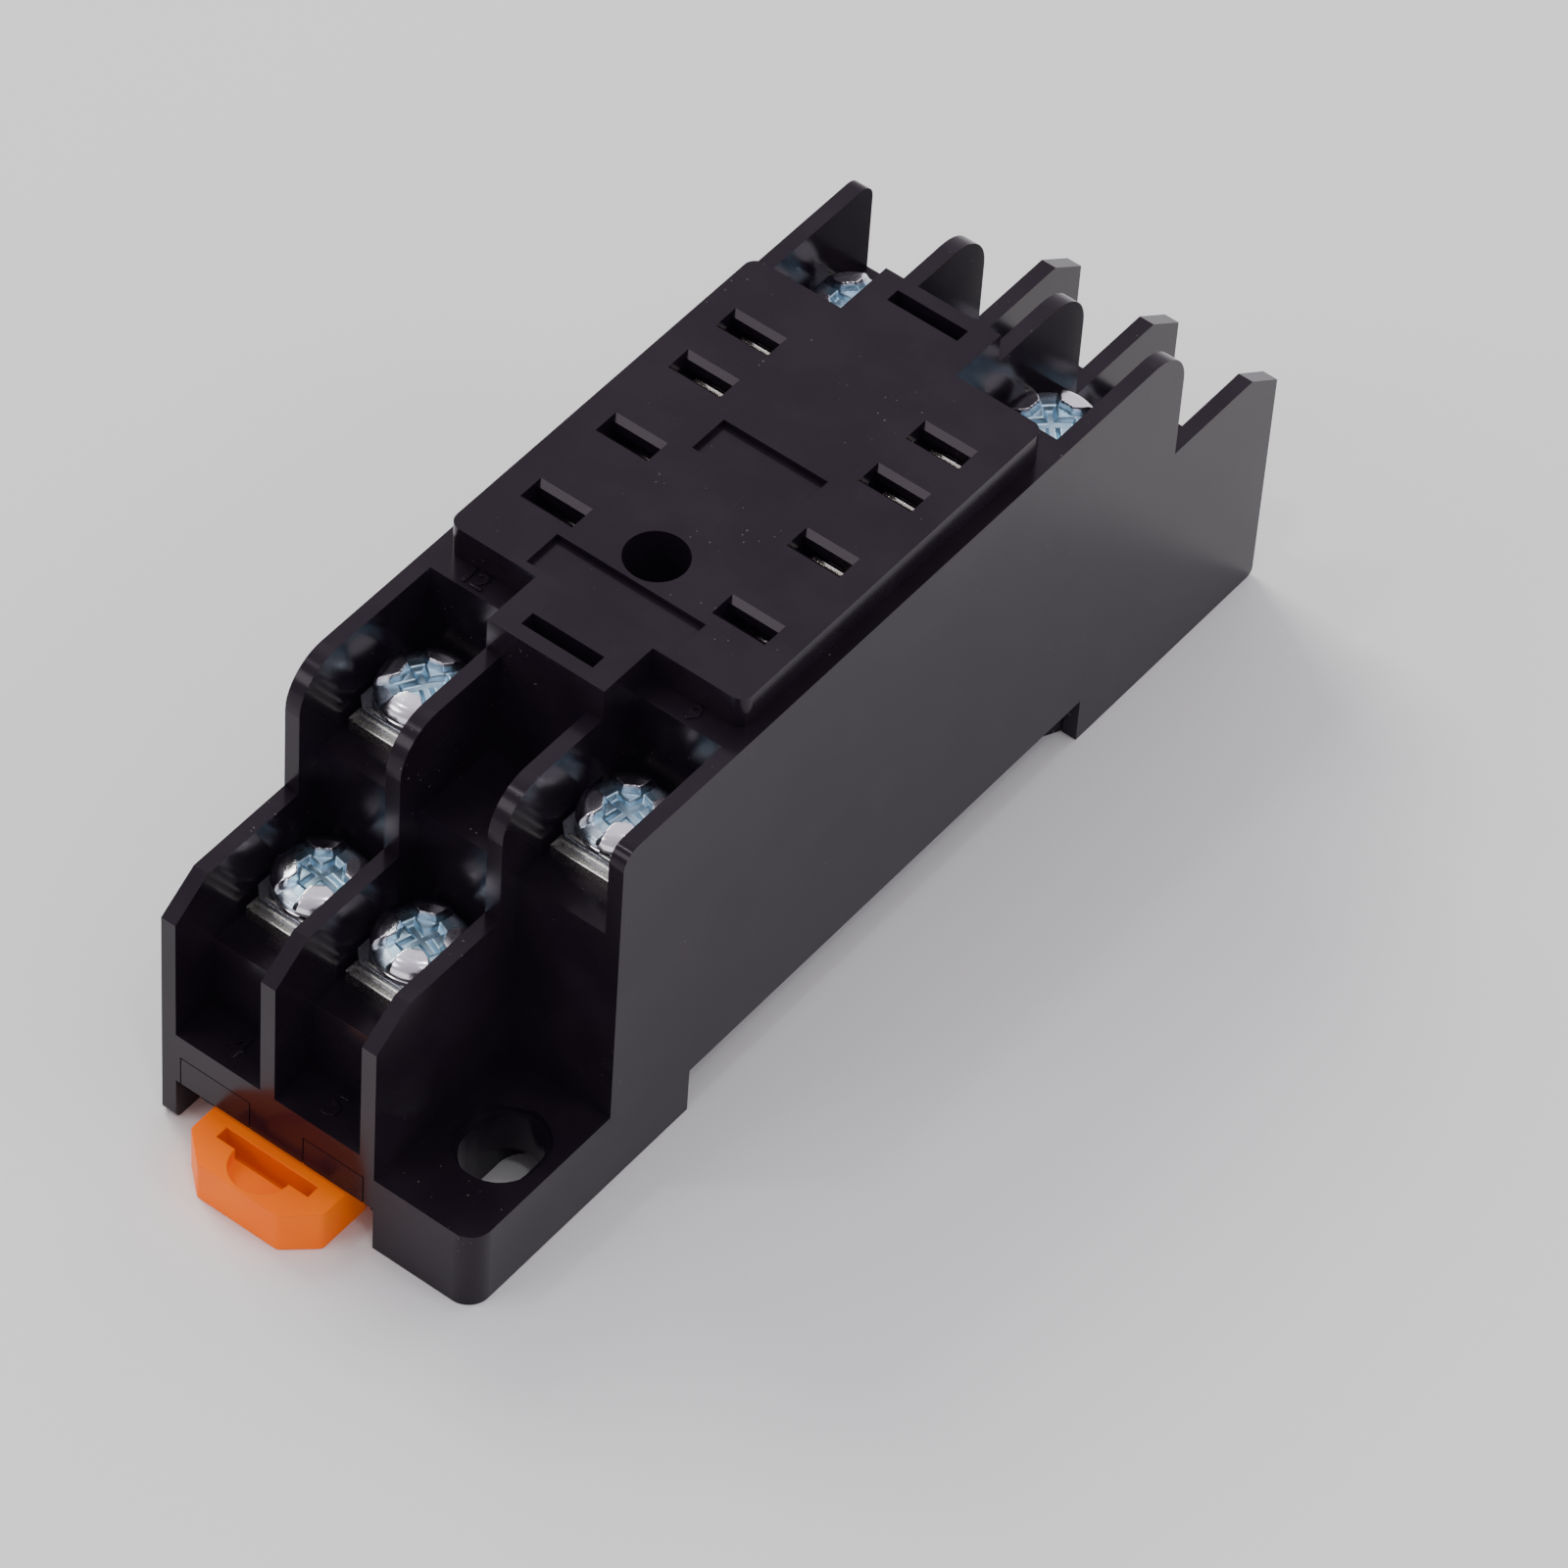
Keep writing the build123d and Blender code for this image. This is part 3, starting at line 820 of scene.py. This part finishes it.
@dataclass
class TerminalNumbers:
    """Raised numbers on the ledges and on the floors of the wire entries."""

    relief: float = 0.14
    sink: float = 0.03
    edge: float = 0.025
    cap_share: float = 0.7
    marks: tuple[Mark, ...] = (
        Mark("12", -7.6, -14.05, 27.2, 1.15), Mark("9", 7.4, -14.05, 27.2, 1.15),
        Mark("4", -6.9, -34.5, 7.15, 1.7), Mark("5", -0.2, -34.3, 7.15, 1.7),
        Mark("14", 7.6, 14.15, 27.2, 1.15), Mark("13", -7.4, 14.15, 27.2, 1.15),
        Mark("8", 6.9, 34.4, 7.15, 1.7), Mark("1", 0.2, 34.4, 7.15, 1.7))

    def build(self, material: bpy.types.Material) -> None:
        """Builds every number as a mesh that rises from its ledge.

        Args:
            material: Finish of the moulding.
        """
        for index, mark in enumerate(self.marks, 1):
            curve = bpy.data.curves.new(f"number_{index}", "FONT")
            curve.body = mark.text
            curve.align_x, curve.align_y = "CENTER", "CENTER"
            curve.size = mark.height / self.cap_share * MM
            curve.extrude = self.relief / 2 * MM
            curve.bevel_depth = self.edge * MM
            curve.bevel_resolution = 1
            curve.resolution_u = 4
            source = bpy.data.objects.new(f"number_{index}", curve)
            mesh = bpy.data.meshes.new_from_object(source)
            bpy.data.objects.remove(source)
            place = Vector((mark.x, mark.y, mark.z + self.relief / 2 - self.sink)) * MM
            mesh.transform(Matrix.Translation(place))
            mesh.materials.clear()
            mesh.materials.append(material)
            thing = bpy.data.objects.new(f"terminal_number_{index}", mesh)
            bpy.context.scene.collection.objects.link(thing)
            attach(thing, "socket")
        log.info("numbers: %d", len(self.marks))


# Studio
@dataclass
class Softbox:
    """A square area light aimed at the socket, in metres and watts."""

    name: str
    place: Place
    size: float
    power: float
    tint: Place = (1.0, 1.0, 1.0)

    def build(self, target: Vector) -> None:
        """Makes the light.

        Args:
            target: Point that it is turned to, in metres.
        """
        lamp = bpy.data.lights.new(self.name, "AREA")
        lamp.energy, lamp.size, lamp.color = self.power, self.size, self.tint
        thing = bpy.data.objects.new(self.name, lamp)
        thing.location = self.place
        thing.rotation_euler = (target - Vector(self.place)).to_track_quat("-Z", "Y").to_euler()
        bpy.context.scene.collection.objects.link(thing)


@dataclass
class Studio:
    """Camera at the photograph's angle, pale floor and soft lights."""

    eye_mm: Place = (186.10, -262.61, 365.35)
    target_mm: Place = (7.4311, -5.1492, 14.0)
    roll_deg: float = 4.2883
    focal_px: float = 8753.0
    sensor_mm: float = 36.0
    view_from: float = 0.01
    view_to: float = 20.0
    floor_half: float = 3.0
    floor_gap: float = 0.00005
    light_target: Place = (0.0, 0.0, 0.015)
    sky_colour: Colour = (1.0, 0.94, 1.02, 1)
    sky_dim: float = 0.52
    sky_bright: float = 1.02
    sky_side: Place = (-0.57, 0.82, 0.0)
    boxes: tuple[Softbox, ...] = field(default_factory=lambda: (
        Softbox("key_box", (-0.90, 0.28, 0.92), 0.50, 8.5, (0.95, 1.0, 0.91)),
        Softbox("front_box", (-0.40, -0.80, 0.58), 0.34, 1.4, (1.0, 0.99, 0.98)),
        Softbox("glint_left", (-0.42, -0.40, 1.10), 0.08, 0.9),
        Softbox("glint_right", (0.46, -0.34, 1.12), 0.08, 0.9),
        Softbox("glint_top", (0.02, 0.10, 1.25), 0.08, 0.9),
        Softbox("side_box", (0.95, 0.20, 0.85), 0.40, 2.0, (0.95, 0.97, 1.0))))

    def build_camera(self) -> None:
        """Sets the camera: its axis through the target, rolled about it, with no shift."""
        data = bpy.data.cameras.new("camera")
        data.sensor_width = self.sensor_mm
        data.lens = self.focal_px * self.sensor_mm / IMAGE_SIDE
        data.clip_start, data.clip_end = self.view_from, self.view_to
        eye, target = Vector(self.eye_mm) * MM, Vector(self.target_mm) * MM
        back = (eye - target).normalized()
        right = Vector((0, 0, 1)).cross(back).normalized()
        up = back.cross(right)
        level = Matrix((right, up, back)).transposed()
        turn = level @ Matrix.Rotation(math.radians(self.roll_deg), 3, "Z")
        thing = bpy.data.objects.new("camera", data)
        thing.matrix_world = Matrix.Translation(eye) @ turn.to_4x4()
        bpy.context.scene.collection.objects.link(thing)
        bpy.context.scene.camera = thing

    def build_floor(self, low: float, material: bpy.types.Material) -> None:
        """Lays the floor just under the socket.

        Args:
            low: Its height in metres.
            material: Its finish.
        """
        s = self.floor_half
        mesh = bpy.data.meshes.new("floor")
        corners = [(-s, -s, low), (s, -s, low), (s, s, low), (-s, s, low)]
        mesh.from_pydata(corners, [], [(0, 1, 2, 3)])
        mesh.materials.append(material)
        thing = bpy.data.objects.new("floor", mesh)
        bpy.context.scene.collection.objects.link(thing)

    def build_world(self) -> None:
        """Makes a sky whose light grows evenly from one side of the studio to the other."""
        world = bpy.data.worlds.new("studio")
        g = Graph(world)
        look = g.add("ShaderNodeTexCoord", output="Generated")
        side = g.add("ShaderNodeVectorMath", {"operation": "DOT_PRODUCT"}, {0: look, 1: self.sky_side},
                     output="Value")
        power = side.ramp(-1.0, 1.0) * (self.sky_bright - self.sky_dim) + self.sky_dim
        sky = g.add("ShaderNodeBackground", {}, {"Color": self.sky_colour, "Strength": power})
        g.add("ShaderNodeOutputWorld", {}, {"Surface": sky}, output=None)
        bpy.context.scene.world = world

    def build(self) -> None:
        """Makes the camera, floor, lights and world."""
        self.build_camera()
        self.build_floor(cad_box[0].z - self.floor_gap, PaleFloor().build())
        for light in self.boxes:
            light.build(Vector(self.light_target))
        self.build_world()
        log.info("studio: %d lights", len(self.boxes))


# Sheet metals
# painted shade: the clamp washers' zinc is darker and bluer than the ridges pressed in them, which take
# the brighter plate finish, to stand for the shade under the screw heads
PAINTED_SHADE_WASHER_ZINC = DrawnMetal("painted_shade_washer_zinc", colour=(0.40, 0.42, 0.47, 1), stain=(0.26, 0.28, 0.32, 1),
                         rough=0.16, grain=Grain.ALONG_X)
TINNED_STRIP = DrawnMetal("tinned_strip", colour=(0.74, 0.73, 0.68, 1), stain=(0.55, 0.52, 0.44, 1),
                          rough=0.20, grain=Grain.ALONG_Y)
SPRING_BRONZE = DrawnMetal("spring_bronze", colour=(0.80, 0.74, 0.60, 1), stain=(0.60, 0.50, 0.34, 1),
                           rough=0.18, grain=Grain.ALONG_Z)
CONTACT_EDGE = DrawnMetal("contact_edge", colour=(0.88, 0.86, 0.80, 1), stain=(0.82, 0.79, 0.72, 1),
                          rough=0.05, grain=Grain.ALONG_X, edge_mm=0.0, relief=0.03)


def main() -> None:
    """Builds the studio, dresses every CAD node and adds the fine pieces."""
    logging.basicConfig(level=logging.INFO)
    Studio().build()
    black = MouldedBlack().build()
    base = MouldedBlack("base_black", gloss=0.26).build()
    orange = MouldedOrange().build()
    zinc = BlueZinc().build()
    washer, plate = PAINTED_SHADE_WASHER_ZINC.build(), TINNED_STRIP.build()
    bronze, edge = SPRING_BRONZE.build(), CONTACT_EDGE.build()
    dress("housing", black)
    dress("base_plate", base)
    dress("din_clip", orange)
    Terminals(zinc, washer, plate).build()
    for number in TERMINALS:
        dress(f"contact_clip_{number}", bronze)
        ContactLip().build(number, edge)
    TerminalNumbers().build(black)


if __name__ == "__main__":
    main()
